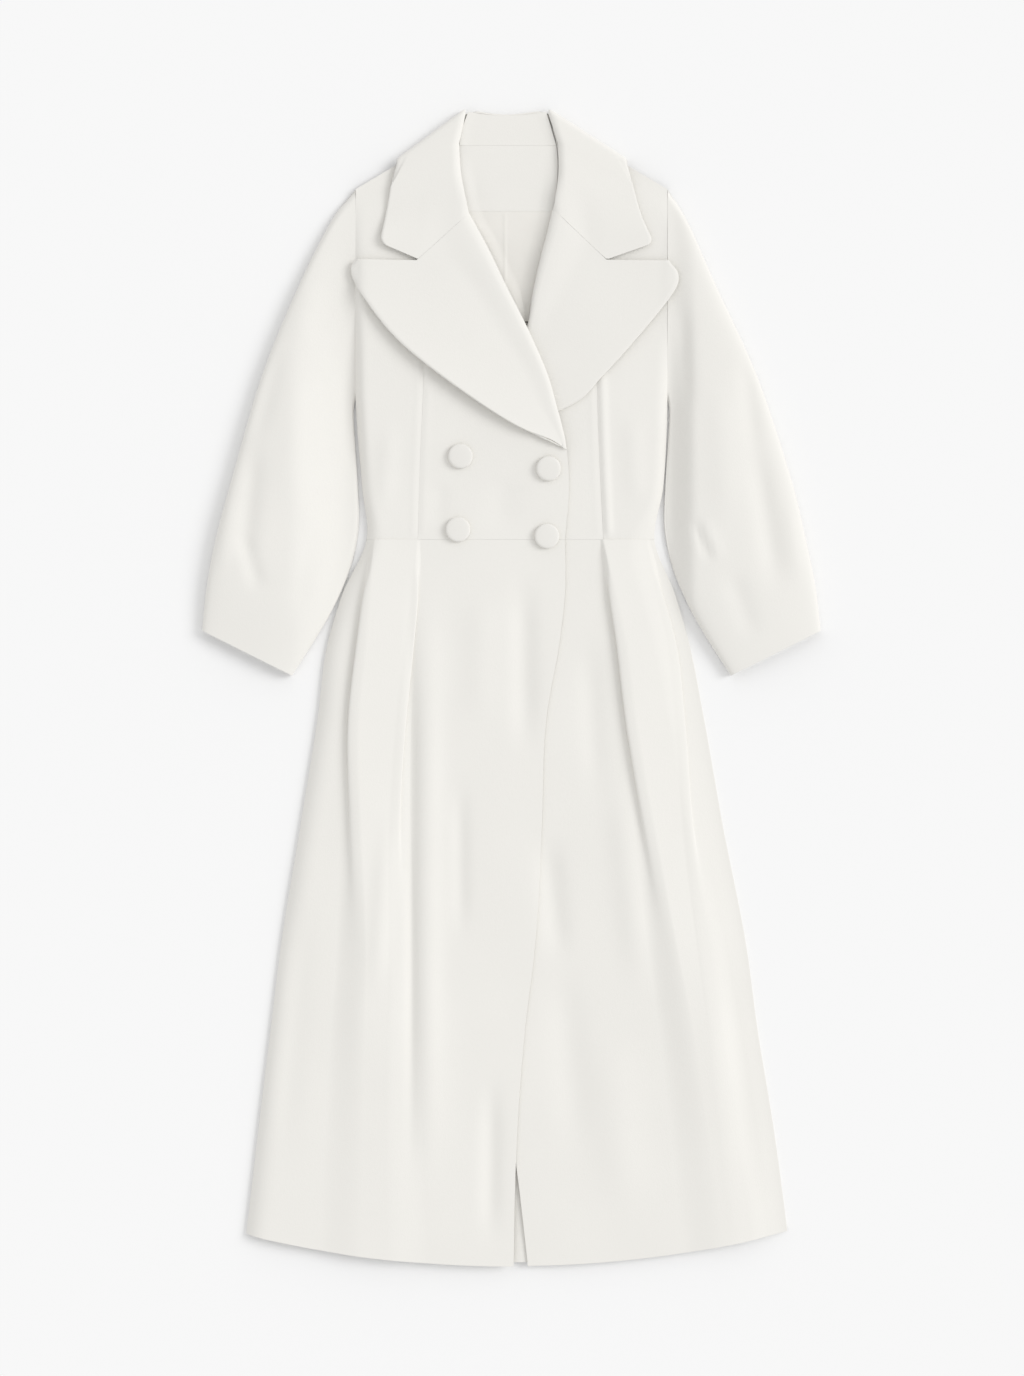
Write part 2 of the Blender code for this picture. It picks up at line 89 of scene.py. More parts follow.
# Body lengths, in millimetres
WAIST_Y = 180.0
ARMHOLE_X = 190.0
NECK_Y = 660.0
NECK_HALF = 46.0
SHOULDER_NECK = (66.0, 681.0)
SHOULDER_TIP = (190.0, 607.0)
BACK_SHOULDER_DROP = 6.0
HEM_LOW = -704.1
HEM_RADIUS = 1380.0
HEM_TABLE_Y = -690.0
BACK_HEM_SHORTER = 4.0
SKIRT_SIDE_ROUND = 30.0
LEFT_SIDE_ROUND = 46.0
BODICE_SIDE_ROUND = 16.0
ROUND_BLEND = 60.0
SHOULDER_ROUND = 55.0
SHOULDER_SMOOTH = 30.0
BACK_FOLD_FADE = 30.0

# The body's side edges, and the levels that each front lies at
Side = namedtuple("Side", "y right left")
SIDES = (
    Side(-700, 327, 341), Side(-660, 322, 336), Side(-540, 308, 320), Side(-410, 292, 299),
    Side(-320, 281, 287), Side(-165, 256, 257), Side(-40, 236, 235), Side(60, 222, 215),
    Side(115, 205, 199), Side(180, 176, 174), Side(242, 181, 184), Side(300, 186, 188),
    Side(357, 189.6, 189.6), Side(700, 189.6, 189.6),
)
Level = namedtuple("Level", "y over under edge")
LEVELS = (
    Level(-720, 13.2, 9.6, 3.3), Level(180, 13.2, 9.6, 3.3), Level(262, 13.4, 9.6, 3.3),
    Level(300, 17.0, 9.6, 3.3), Level(335, 18.5, 9.6, 3.4), Level(400, 18.5, 9.6, 7.0),
    Level(440, 18.5, 9.8, 10.0), Level(520, 16.0, 11.0, 12.0), Level(570, 13.0, 11.0, 11.0),
    Level(604, 10.5, 10.0, 8.0), Level(655, 7.4, 7.4, 7.0), Level(720, 7.4, 7.4, 7.0),
)

# Front edges and roll lines of the upper body, and the princess seams
Edge = namedtuple("Edge", "y over under")
FRONT_EDGES = (
    Edge(180, 65, -80), Edge(250, 70, -70), Edge(288, 67, -56), Edge(324, 59, -40), Edge(381, 42, -8),
    Edge(434, 19, 19), Edge(488, -8, 29), Edge(545, -35, 43), Edge(575, -52, 50), Edge(622, -62, 57),
    Edge(656, -65, 56), Edge(703, -57, 42),
)
Princess = namedtuple("Princess", "y right left")
PRINCESS = (
    Princess(180, -114, 112), Princess(280, -111, 107), Princess(372, -107, 104), Princess(650, -118, 116),
)
PRINCESS_TOP_Y = 650.0
PRINCESS_FADE = 12.0
GROOVE_DEPTH = 0.6
GROOVE_HALF = 2.6
PRESSED_HEIGHT = 0.3
PRESSED_AT = 7.0
PRESSED_HALF = 3.4
LEFT_RIDGE_HEIGHT = 1.9
LEFT_RIDGE_AT = 6.5
LEFT_RIDGE_HALF = 5.0
LEFT_RIDGE_TOP_Y = 396.0
LEFT_RIDGE_FADE = 36.0

# Skirt folds: the fold lines of each box pleat, and the free front edges
Skirt = namedtuple("Skirt", "y out_right in_right edge_right edge_left in_left out_left")
SKIRT = (
    Skirt(-700, -208, -126, 2.5, 19.5, 236, 292), Skirt(-600, -206, -129, 4.5, 8, 224, 282),
    Skirt(-540, -204, -130, 7, 0, 217, 275), Skirt(-410, -199, -130, 17, -10, 199, 258),
    Skirt(-320, -195, -131, 28, -20, 184, 244), Skirt(-165, -196, -136, 37, -38, 160, 220),
    Skirt(-40, -195, -131, 42, -52, 142, 208), Skirt(60, -184, -121, 59, -64, 130, 196),
    Skirt(115, -178, -115, 65, -72, 120, 182), Skirt(180, -168, -113, 65, -80, 110, 166),
)
LIT_FOLD = 0.38
LIT_END_Y = -480.0
LIT_FADE = 260.0
Fold = namedtuple("Fold", "y rise ramp lean")
FOLDS = (
    Fold(-700, 3.6, 50, 0.0), Fold(-560, 4.6, 47, 0.0), Fold(-430, 6.2, 42, 0.0), Fold(-300, 7.6, 35, 0.0),
    Fold(-150, 9.0, 24, 4.4), Fold(-40, 9.0, 18, 6.4), Fold(60, 9.0, 16, 6.0), Fold(115, 8.4, 13, 3.4),
    Fold(150, 7.0, 8, 0.0), Fold(168, 4.6, 6, 0.0), Fold(180, 1.4, 5, 0.0),
)

# Sleeves, from the armhole to the cuff: outer and inner edge of each flattened section
Sleeve = namedtuple("Sleeve", "outer_right outer_left outer_y inner inner_y crown")
SLEEVE = (
    Sleeve(189.75, 189.75, 606.4, 189.75, 357, 10.5), Sleeve(219, 213, 568, 193.5, 336, 15.5),
    Sleeve(259, 249, 487, 191.5, 296, 20), Sleeve(303, 298, 379, 188, 246, 23),
    Sleeve(339, 339, 256, 187, 192, 24), Sleeve(359, 357, 182, 199, 140, 23),
    Sleeve(370, 369, 124, 226, 82, 20), Sleeve(376, 376, 69, 268, 15, 14),
)
SLEEVE_ROUND = 0.4
SLEEVE_EDGE_LIFT = 2.6
SLEEVE_SEWN_ROUND = 0.35
SLEEVE_WAVES_AT = 400.0

# Lapels, from the break to the gorge: roll point, outer edge point, drop of the middle, roll and edge
Lapel = namedtuple("Lapel", "roll_x roll_y edge_x edge_y drop roll_width roll_rise edge_lift")
RIGHT_LAPEL = (
    Lapel(66, 289, 50, 299, 0, 5, 1.4, 3.0), Lapel(63, 306, 5, 318, 0, 5, 2.0, 7.2),
    Lapel(54, 340, -48, 351, 0, 6, 3.0, 9.4), Lapel(42, 381, -109, 396, 0, 6, 3.6, 9.0),
    Lapel(19, 434, -150, 434, 0, 8, 4.4, 7.0), Lapel(-8, 488, -187, 485, 0, 9, 5.0, 4.4),
    Lapel(-29, 532, -195, 508, 14, 10, 5.5, 3.4), Lapel(-52, 575, -189, 520, 31, 10, 6.0, 3.6),
)
LEFT_LAPEL = (
    Lapel(-47, 310, -33, 314, 0, 5, 1.0, 0.0), Lapel(-30, 340, 20, 322, 0, 5, 1.0, 0.0),
    Lapel(0, 395, 79, 347, 0, 5, 1.0, 0.5), Lapel(19, 436, 110, 378, 0, 5, 1.6, 2.0),
    Lapel(27, 480, 150, 422, 0, 7, 3.6, 3.0), Lapel(36, 520, 194, 476, 4, 9, 5.0, 3.5),
    Lapel(44, 550, 203, 500, 14, 10, 5.5, 3.5), Lapel(51, 580, 191, 519, 32, 10, 6.0, 3.5),
)
NOTCH_AT = 0.46
RIGHT_COLLAR_NOTCH = 0.57
LEFT_COLLAR_NOTCH = 0.528
ROLL_SHARE = 0.6
BLEND_RATE = 0.25

# Collar, from the gorge over the shoulder to the middle of the back
Fall = namedtuple("Fall", "roll_x roll_y edge_x edge_y drop roll_z top_z edge_z")
RIGHT_FALL = (
    Fall(-52.05, 575.1, -160, 540, 35.0, 14.4, 21.4, 19.0), Fall(-62, 622, -153, 574, 6, 11.4, 18.0, 16.4),
    Fall(-65, 662, -147, 609, 0, 9.6, 15.6, 14.8),
)
LEFT_FALL = (
    Fall(51.05, 580.1, 173, 540, 38.9, 12.4, 19.4, 17.0), Fall(58, 622, 158, 574, 6, 11.4, 18.0, 16.0),
    Fall(58, 662, 148, 609, 0, 9.6, 15.6, 14.8),
)
CREASE_RIGHT = ((-57, 703), (-140, 642))
CREASE_LEFT = ((46, 703), (141, 642))
BACK_FALL = (
    Fall(-43, 701, -92, 606, 0, 6.4, 1.6, 1.6), Fall(-6, 697, 0, 598, 0, 6.4, 1.6, 1.6),
    Fall(34, 701, 93, 606, 0, 6.4, 1.6, 1.6),
)
CREASE_TURN = np.radians(np.linspace(90.0, -90.0, 9))
CREASE_ROLL_Z = 9.0
CREASE_TOP_Z = 14.5
CREASE_ROLL_SHARE = 0.12
CREASE_SPREAD = 1.6
COLLAR_ROLL_WIDTH = 10.0
COLLAR_CORNER = 9.0
FALL_EDGE_LENGTH = 60.0
STAND_Z = 7.8
NECK_Z = BACK_Z + BACK_LIFT + FACING_WALL + LINING_GAP
STAND_TOP_Y = 696.3
STAND_HOLLOW = 5.0
STAND_MIDDLE_X = -6.0
STAND_HALF = 48.0
STAND_TURN = 0.8
STAND_TURN_WIDTH = 14.0
STAND_SIDES = (Side(660, -63.5, 54.5), Side(681, -60.5, 48.5), Side(700, -53.0, 42.5))

# Buttons
Button = namedtuple("Button", "name x y")
BUTTONS = (
    Button("button_upper_right", -62, 281), Button("button_upper_left", 45, 266),
    Button("button_lower_right", -65, 192), Button("button_lower_left", 43, 184),
)
BUTTON_RADIUS = 15.0
BUTTON_HEIGHT = 6.4
BUTTON_SEAT = 0.35
BUTTON_NAP = 0.8
GATHERS = 22
GATHER_DEPTH = 0.012
GATHER_AT = 0.2
GATHER_HALF = 0.2
Ring = namedtuple("Ring", "radius height")
BUTTON_PROFILE = (
    Ring(0.0, 0.0), Ring(0.5, 0.0), Ring(0.84, 0.0), Ring(0.95, 0.12), Ring(1.0, 0.3), Ring(1.0, 0.52),
    Ring(0.985, 0.7), Ring(0.95, 0.84), Ring(0.88, 0.92), Ring(0.76, 0.96), Ring(0.55, 0.98),
    Ring(0.3, 0.995), Ring(0.0, 1.0),
)

# Creases of the fronts: ends, half width and height; a trough has a negative height
Crease = namedtuple("Crease", "x0 y0 x1 y1 width height")
CREASE_FADE = 0.35
FRONT_CREASES = (
    Crease(14, 150, 17, -95, 15, -4.4), Crease(42, -170, 60, -345, 15, -4.0),
    Crease(60, -320, 82, -590, 21, -3.0), Crease(-148, -140, -166, -390, 13, 3.0),
    Crease(-101, 170, -103, -640, 16, 4.8), Crease(-121, 178, -122, -620, 7, -3.2),
    Crease(-63, -100, -61, -320, 10, -2.7), Crease(-24, -460, -26, -690, 12, -3.4),
    Crease(-92, -330, -98, -600, 26, 2.2), Crease(128, -80, 160, -390, 19, 3.8),
    Crease(92, 70, 104, -150, 14, -2.4), Crease(122, -400, 138, -660, 27, 2.6),
    Crease(262, -300, 300, -650, 17, -2.4), Crease(-252, -230, -282, -600, 18, -2.2),
    Crease(-36, 130, -40, -60, 20, 2.2), Crease(-146, 330, -158, 205, 13, 1.8),
    Crease(146, 345, 152, 210, 14, 1.7), Crease(-86, 255, -90, 190, 11, -1.2),
    Crease(-8, 262, -14, 186, 19, -1.5),
)
RIGHT_SLEEVE_CREASES = (
    Crease(278, 425, 318, 280, 12, -4.0), Crease(311, 310, 327, 145, 13, -5.6),
    Crease(328, 195, 305, 112, 9, -3.4), Crease(340, 250, 356, 125, 9, 2.4),
    Crease(213, 400, 209, 262, 11, 2.6), Crease(262, 400, 272, 190, 21, 2.0),
    Crease(238, 210, 262, 70, 14, -2.4), Crease(238, 500, 262, 410, 15, 1.7),
)
LEFT_SLEEVE_CREASES = (
    Crease(283, 420, 298, 268, 12, -3.6), Crease(293, 315, 326, 105, 14, -5.2),
    Crease(218, 210, 244, 148, 5, -3.6), Crease(229, 208, 254, 150, 8, 1.8),
    Crease(204, 480, 213, 322, 11, -4.0), Crease(252, 390, 262, 180, 19, 2.2),
    Crease(336, 240, 352, 118, 10, 2.1), Crease(262, 150, 296, 52, 13, -2.4),
)
# The back's last ridge lies under the slit, and runs past the hem so that it doesn't fade out there
BACK_CREASES = (
    Crease(-46, 420, -58, 210, 26, 1.3), Crease(62, 450, 54, 230, 22, 1.1),
    Crease(-110, 60, -158, -640, 30, 2.0), Crease(-22, 90, -34, -560, 24, 1.5),
    Crease(66, 40, 108, -660, 33, 2.1), Crease(152, -120, 214, -620, 26, 1.6),
    Crease(12, -390, 12, -990, 26, 5.9),
)

# Slow waves in the fronts and sleeves: five lengths, each over 2 pi, and two heights
Waves = namedtuple("Waves", "across bent along slanting crossing first second")
WAVES = Waves(23.0, 61.0, 47.0, 31.0, 53.0, 0.22, 0.26)
WAVE_BEND = 0.7
WAVE_SLANT = 0.6
WAVE_STARTS = (1.3, 2.1)

# Cut of what shows of each panel, in metres: width, length and area, and what the panel lies on
Cut = namedtuple("Cut", "width length area rests_on")

# Stage, in metres
FLOOR_HALF = 6.0
FLOOR_Z = -0.0002
LAMP_PLACE = (3.0, 0.9, 2.3)
CAMERA_SHIFT = 0.0006
SENSOR_WIDTH = 36.0


def spline(knots, values, at):
    """Smooth curve through a table's rows: cubic pieces whose slopes come from the neighbouring rows."""
    knots = np.asarray(knots, float)
    values = np.asarray(values, float)
    slopes = np.gradient(values, knots)
    at = np.clip(at, knots[0], knots[-1])
    piece = np.clip(np.searchsorted(knots, at) - 1, 0, len(knots) - 2)
    span = knots[piece + 1] - knots[piece]
    t = (at - knots[piece]) / span
    start = values[piece] * (1 + 2 * t) * (1 - t) ** 2 + slopes[piece] * span * t * (1 - t) ** 2
    end = values[piece + 1] * (3 - 2 * t) * t ** 2 - slopes[piece + 1] * span * (1 - t) * t ** 2
    return start + end


def read(table, name, at):
    """One named column of a table whose first column is y, at the heights asked for."""
    return spline([row.y for row in table], [getattr(row, name) for row in table], at)


def rows_at(table, at):
    """A table's columns at any places between its first row, 0, and its last, 1."""
    own = np.linspace(0, 1, len(table))
    return {name: spline(own, [getattr(row, name) for row in table], at) for name in table[0]._fields}


def ease(t):
    """Soft step from 0 to 1."""
    t = np.clip(t, 0.0, 1.0)
    return t * t * (3 - 2 * t)


def bell(distance, half):
    """Bell of height 1 about a line: e to the minus square of the distance over the half width."""
    return np.exp(-(distance / half) ** 2)


def quarter(t):
    """Rise of a quarter round, from 0 to 1."""
    return np.sqrt(1 - (1 - np.clip(t, 0.0, 1.0)) ** 2)


def steps(count, length):
    """Shares of a length: even inside, and close together at both ends, where the edge is rounded."""
    rim = np.array(RIM_STEPS) * EDGE_ROUND / length
    start = RIM_WIDTH / length
    return np.concatenate((rim, np.linspace(start, 1 - start, count), 1 - rim[::-1]))


def shoulder_y(x):
    """The shoulder seam's place along the body, on either side of the neck."""
    return np.interp(np.abs(x), (SHOULDER_NECK[0], SHOULDER_TIP[0]), (SHOULDER_NECK[1], SHOULDER_TIP[1]))


def hem_y(x):
    """The hem swings in a wide arc."""
    return HEM_LOW + x ** 2 / (2 * HEM_RADIUS)


def side_x(side, y):
    """Half width at a side edge: the skirt's flare, the side seam, then the armhole's straight edge."""
    flare = read(SIDES, side, y)
    return np.where(y > WAIST_Y, np.minimum(flare, ARMHOLE_X - SEAM), flare)


def creased(x, y, table):
    """Sum of soft troughs and ridges: a bell across each line, fading out at both of its ends."""
    total = np.zeros(np.broadcast(x, y).shape)
    for row in table:
        along = np.array((row.x1 - row.x0, row.y1 - row.y0), float)
        length = np.hypot(*along)
        along /= length
        t = ((x - row.x0) * along[0] + (y - row.y0) * along[1]) / length
        across = (x - row.x0) * along[1] - (y - row.y0) * along[0]
        height = row.height * bell(across, row.width)
        total += height * ease(t / CREASE_FADE) * ease((1 - t) / CREASE_FADE)
    return total


def unevenness(x, y):
    """Slow waves, 14 to 38 centimetres long, so that no stretch of these cloths is quite flat."""
    bent = WAVE_BEND * np.sin(y / WAVES.bent)
    first = np.sin(x / WAVES.across + bent) * np.sin(y / WAVES.along + WAVE_STARTS[0])
    slanting = np.sin((x + y) / WAVES.slanting + WAVE_STARTS[1])
    second = slanting * np.sin((x - WAVE_SLANT * y) / WAVES.crossing)
    return WAVES.first * first + WAVES.second * second


def front_height(x, y, lap):
    """Middle of a front's wall: low at the side seam, rounding up to the level that this front lies at.
    The left side of the skirt rises as a soft step; every other side edge turns over quickly,
    1 - (1 - t) ^ 3."""
    edge = read(LEVELS, "edge", y)
    level = read(LEVELS, lap, y)
    inset = np.where(x < 0, x + side_x("right", y), side_x("left", y) - x)
    waisted = ease((y - WAIST_Y + ROUND_BLEND) / (2 * ROUND_BLEND))
    skirt_round = np.where(x < 0, SKIRT_SIDE_ROUND, LEFT_SIDE_ROUND)
    t = np.clip(inset / (skirt_round + (BODICE_SIDE_ROUND - skirt_round) * waisted), 0.0, 1.0)
    below = shoulder_y(x) - y
    inner = ease(t) + (1 - (1 - t) ** 3 - ease(t)) * np.where(x < 0, 1.0, waisted)
    crown = edge + (level - edge) * inner * ease(below / SHOULDER_ROUND)
    loose = creased(x, y, FRONT_CREASES) + unevenness(x, y)
    return crown + loose * inner * ease(below / SHOULDER_SMOOTH)


def panel_height(x, y, lap):
    """A front with its sewing: each princess seam sinks between its two pressed edges, and below the lapel
    the left one's outer edge stands up in a low ridge."""
    beside = np.where(x < 0, x - read(PRINCESS, "right", y), x - read(PRINCESS, "left", y))
    bodice = ease((y - WAIST_Y) / PRINCESS_FADE)
    pressed = PRESSED_HEIGHT * bell(np.abs(beside) - PRESSED_AT, PRESSED_HALF)
    seam = pressed - GROOVE_DEPTH * bell(beside, GROOVE_HALF)
    ridge = LEFT_RIDGE_HEIGHT * bell(beside - LEFT_RIDGE_AT, LEFT_RIDGE_HALF)
    ridge = ridge * ease((LEFT_RIDGE_TOP_Y - y) / LEFT_RIDGE_FADE)
    return front_height(x, y, lap) + (seam + np.where(x < 0, 0.0, ridge)) * bodice


def back_height(x, y):
    """The back lies on the surface, and lifts over the collar's fall near the neck."""
    lift = BACK_LIFT * ease((y - LIFT_START_Y) / LIFT_LENGTH)
    return BACK_Z + lift * ease((LIFT_HALF - np.abs(x)) / LIFT_SIDE)


def back_folds(x, y):
    """Long low ridges that lift the back's cloth off the surface, well inside the side seams."""
    inset = np.where(x < 0, x + side_x("right", y), side_x("left", y) - x)
    return creased(x, y, BACK_CREASES) * ease((inset - SKIRT_SIDE_ROUND) / BACK_FOLD_FADE)


def add_mesh(name, points, faces, cloth, node):
    """A smooth mesh piece in metres that stands for one solid of the frame."""
    mesh = bpy.data.meshes.new(name)
    mesh.from_pydata((points * MM).tolist(), [], faces)
    mesh.shade_smooth()
    mesh.materials.append(cloth)
    made = bpy.data.objects.new(name, mesh)
    bpy.context.scene.collection.objects.link(made)
    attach(made, BODY)
    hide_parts(node)
    return made


def add_shell(name, grid, wall, cloth, node, tube=False, sewn=None):
    """Closed cloth shell on a grid of middle points: each point is moved half the wall to both sides along
    the grid's normal, and the half wall shrinks to nothing over a quarter round at each free edge. Where a
    column is sewn at its ends, that quarter round is much smaller. The four corner points are left out,
    and each face that had one becomes a triangle."""
    rows, columns = grid.shape[:2]
    ring = np.concatenate((grid[:, -1:], grid, grid[:, :1]), axis=1) if tube else grid

    def direction(lines, axis):
        """Mean of the unit steps to both neighbours along one axis, whatever their lengths."""
        step = np.diff(lines, axis=axis)
        step = step / np.maximum(np.linalg.norm(step, axis=-1, keepdims=True), SHORTEST)
        last = np.take(step, [-1], axis=axis)
        first = np.take(step, [0], axis=axis)
        return np.concatenate((first, step), axis=axis) + np.concatenate((step, last), axis=axis)

    across = direction(ring, 1)[:, 1:-1] if tube else direction(ring, 1)
    normal = np.cross(across, direction(grid, 0))
    normal /= np.maximum(np.linalg.norm(normal, axis=-1, keepdims=True), SHORTEST)

    def from_edges(axis):
        """Distance to the nearer end of each grid line, measured along it."""
        step = np.linalg.norm(np.diff(grid, axis=axis), axis=-1)
        shape = list(step.shape)
        shape[axis] = 1
        run = np.concatenate((np.zeros(shape), np.cumsum(step, axis=axis)), axis=axis)
        return np.minimum(run, np.take(run, [-1], axis=axis) - run)

    rounding = EDGE_ROUND if wall < COLLAR_WALL else LEAF_ROUND
    ends = from_edges(0)
    if sewn is not None:
        ends = np.where(sewn, ends * rounding / SEWN_ROUND, ends)
    inset = ends if tube else np.minimum(ends, from_edges(1))
    half = wall / 2 * quarter(inset / rounding)[..., None]
    outer = np.arange(rows * columns).reshape(rows, columns)
    free = np.zeros((rows, columns), bool)
    free[[0, -1]] = True
    if not tube:
        free[:, [0, -1]] = True
    inner = np.where(free, outer, rows * columns + np.cumsum(~free).reshape(rows, columns) - 1)
    below = (grid - normal * half)[~free]
    points = np.concatenate(((grid + normal * half).reshape(-1, 3), below))

    def quads(index):
        """Corner numbers of the grid's faces, wound to face along the normal."""
        beside = np.roll(index, -1, axis=1)
        first, second = (index, beside) if tube else (index[:, :-1], index[:, 1:])
        return np.stack((first[:-1], second[:-1], second[1:], first[1:]), axis=-1).reshape(-1, 4)

    faces = np.concatenate((quads(outer), quads(inner)[:, ::-1]))
    corners = outer[:0] if tube else outer[[0, 0, -1, -1], [0, -1, 0, -1]]
    at_corner = np.isin(faces, corners)
    cut = at_corner.any(axis=1)
    kept = ~np.isin(np.arange(len(points)), corners)
    number = np.cumsum(kept) - 1
    tips = faces[cut][~at_corner[cut]].reshape(-1, 3)
    return add_mesh(name, points[kept], number[faces[~cut]].tolist() + number[tips].tolist(), cloth, node)


def stacked(x, y, z):
    """One grid of points from three arrays."""
    return np.stack(np.broadcast_arrays(x, y, z), axis=-1)


class Wire:
    """A value in a material: arithmetic on it adds Math nodes."""

    def __init__(self, tree, socket):
        self.tree = tree
        self.socket = socket

    def math(self, operation, first, second):
        node = self.tree.nodes.new("ShaderNodeMath")
        node.operation = operation
        for slot, value in zip(node.inputs, (first, second)):
            if isinstance(value, Wire):
                self.tree.links.new(value.socket, slot)
            else:
                slot.default_value = value
        return Wire(self.tree, node.outputs[0])

    def __add__(self, other):
        return self.math("ADD", self, other)

    __radd__ = __add__

    def __sub__(self, other):
        return self.math("SUBTRACT", self, other)

    def __rsub__(self, other):
        return self.math("SUBTRACT", other, self)

    def __mul__(self, other):
        return self.math("MULTIPLY", self, other)

    __rmul__ = __mul__


class Finish:
    """One material's node tree, with a method that adds any node."""

    def __init__(self, name, slot):
        self.material = bpy.data.materials.new(name)
        self.material.use_nodes = True
        self.material["slot"] = slot
        self.tree = self.material.node_tree
        self.shader = self.tree.nodes["Principled BSDF"]

    def node(self, kind, settings=None, inputs=None, output=0):
        """Adds a node: its settings first, then the values or links of its sockets."""
        node = self.tree.nodes.new(kind)
        for key, value in (settings or {}).items():
            setattr(node, key, value)
        for key, value in (inputs or {}).items():
            self.feed(node.inputs[key], value)
        return Wire(self.tree, node.outputs[output])

    def feed(self, socket, value):
        if isinstance(value, Wire):
            self.tree.links.new(value.socket, socket)
        else:
            socket.default_value = value

    def set(self, **values):
        """Sets the shader's own sockets, named with underscores for spaces."""
        for key, value in values.items():
            self.feed(self.shader.inputs[key.replace("_", " ")], value)

    def place(self, scale):
        """Object coordinates, stretched by a scale for each axis."""
        coords = self.node("ShaderNodeTexCoord", output="Object")
        return self.node("ShaderNodeMapping", {}, {"Vector": coords, "Scale": scale})

    def noise(self, where, scale, detail, roughness=0.55):
        return self.node("ShaderNodeTexNoise", {}, {
            "Vector": where, "Scale": scale, "Detail": detail, "Roughness": roughness}, output="Fac")

    def mix(self, share, first, second):
        return self.node("ShaderNodeMix", {"data_type": "RGBA"}, {0: share, 6: first, 7: second}, output=2)


def shade(colour, factor):
    """A colour made lighter or darker, with its alpha kept."""
    return tuple(channel * factor for channel in colour[:3]) + (1.0,)


def wool_finish(name, slot, colour, nap):
    """Felted wool: fine crossing fibres under a soft nap, with faint clouding."""
    wool = Finish(name, slot)
    even = wool.place((1.0, 1.0, 1.0))
    fibre = wool.noise(wool.place((420.0, 1500.0, 900.0)), 1.0, 3.0)
    crossing = wool.noise(wool.place((1500.0, 420.0, 900.0)), 1.0, 3.0)
    tufts = wool.noise(even, 260.0, 4.0)
    clouds = wool.noise(even, 9.0, 3.0)
    pile = fibre * 0.35 + crossing * 0.35 + tufts * 0.3
    tone = clouds * 0.45 + pile * 0.55
    wool.set(Base_Color=wool.mix(tone, shade(colour, 0.955), shade(colour, 1.035)))
    wool.set(Roughness=0.86 + pile * 0.12)
    bump = wool.node("ShaderNodeBump", {}, {"Strength": nap, "Distance": 0.0007, "Height": pile})
    wool.set(Normal=bump)
    wool.set(Sheen_Weight=0.28, Sheen_Roughness=0.55, Specular_IOR_Level=0.22)
    return wool.material


def lining_finish(name, slot, colour):
    """Satin lining: a fine twill line and a soft gloss."""
    lining = Finish(name, slot)
    where = lining.place((1.0, 1.0, 1.0))
    twill = lining.node("ShaderNodeTexWave", {"wave_type": "BANDS", "bands_direction": "DIAGONAL"}, {
        "Vector": where, "Scale": 620.0, "Distortion": 0.6, "Detail": 1.0}, output="Fac")
    clouds = lining.noise(where, 22.0, 3.0)
    lining.set(Base_Color=lining.mix(clouds, shade(colour, 0.95), shade(colour, 1.03)))
    lining.set(Roughness=0.42 + twill * 0.12)
    bump = lining.node("ShaderNodeBump", {}, {"Strength": 0.12, "Distance": 0.0003, "Height": twill})
    lining.set(Normal=bump)
    lining.set(Specular_IOR_Level=0.35)
    return lining.material


def finish_of(slot):
    """The material made for a slot, made once."""
    made = bpy.data.materials.get("finish_" + slot)
    if made:
        return made
    colours = bpy.context.scene.coat_colours
    nap = bpy.context.scene.coat_cloth.nap
    if slot == "ivory_lining":
        return lining_finish("finish_" + slot, slot, tuple(colours.lining))
    if slot == "covered_button":
        return wool_finish("finish_" + slot, slot, tuple(colours.buttons), nap * BUTTON_NAP)
    return wool_finish("finish_" + slot, slot, tuple(colours.wool), nap)


def back_bodice_grid():
    """Back from the waist to the shoulders and neck, flat but for its lift over the collar."""
    share = steps(56, 380)
    top_x = (share * 2 - 1) * SHOULDER_TIP[0]
    shoulder = shoulder_y(top_x) - BACK_SHOULDER_DROP
    neck = NECK_Y - SEAM
    rising = np.interp(np.abs(top_x), (NECK_HALF, SHOULDER_NECK[0]), (0.0, 1.0))
    top = neck + (shoulder - neck) * rising
    y = WAIST_Y + STITCH + (top - WAIST_Y - STITCH) * steps(70, 480)[:, None]
    x = np.where(top_x < 0, side_x("right", y), side_x("left", y)) * top_x / SHOULDER_TIP[0]
    return stacked(x, y, back_height(x, y) + back_folds(x, y))


def back_skirt_grid():
    """Back of the skirt, flat on the surface, from the waist seam to the hem's arc."""
    across = steps(60, 560) * 2 - 1
    hem_x = np.where(across < 0, side_x("right", HEM_TABLE_Y), side_x("left", HEM_TABLE_Y)) * across
    y = WAIST_Y + (hem_y(hem_x) + BACK_HEM_SHORTER - WAIST_Y) * steps(80, 880)[:, None]
    x = np.where(across < 0, side_x("right", y), side_x("left", y)) * across
    return stacked(x, y, BACK_Z + back_folds(x, y))


def side_front_grid(side, lap):
    """Panel between the armhole, the side seam, the shoulder and the princess seam."""
    sign = -1 if side == "right" else 1
    across = steps(34, 72)
    princess_top = read(PRINCESS, side, PRINCESS_TOP_Y)
    top = shoulder_y(sign * SHOULDER_TIP[0] + (princess_top - sign * SHOULDER_TIP[0]) * across)
    y = WAIST_Y + STITCH + (top - WAIST_Y - STITCH) * steps(110, 450)[:, None]
    outer = sign * side_x(side, y)
    x = outer + (read(PRINCESS, side, y) + sign * STITCH / 2 - outer) * across
    return stacked(x, y, panel_height(x, y, lap))


